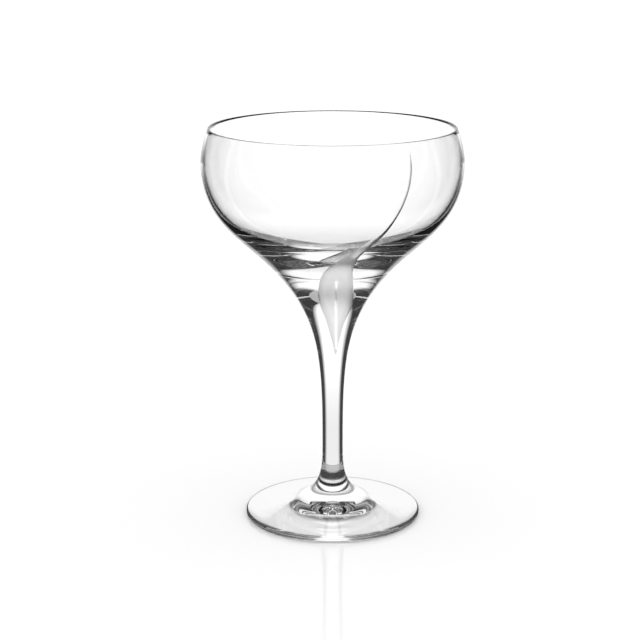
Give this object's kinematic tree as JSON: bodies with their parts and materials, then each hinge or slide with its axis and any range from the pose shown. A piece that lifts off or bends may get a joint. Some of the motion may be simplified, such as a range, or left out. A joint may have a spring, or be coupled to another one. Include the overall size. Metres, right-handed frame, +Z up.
{
  "type": "coupe glass",
  "caption": "Stemmed coupe glass in clear crystal, with a wide shallow bowl, a drawn solid stem, a round foot and a satin leaf cut into the stem.",
  "frame": {"origin": "centre of the ring that the foot stands on, at the level of the table", "axes": "+Z up along the stem towards the rim, -Y towards the front, where the satin leaf is, and +X to the right as seen from there"},
  "size_m": [0.1038, 0.1038, 0.16],
  "materials": {
    "crystal": "clear polished crystal, with a fine ground satin leaf"
  },
  "bodies": {
    "root": {"bowl": "crystal", "stem": "crystal", "foot": "crystal"}
  },
  "joints": []
}
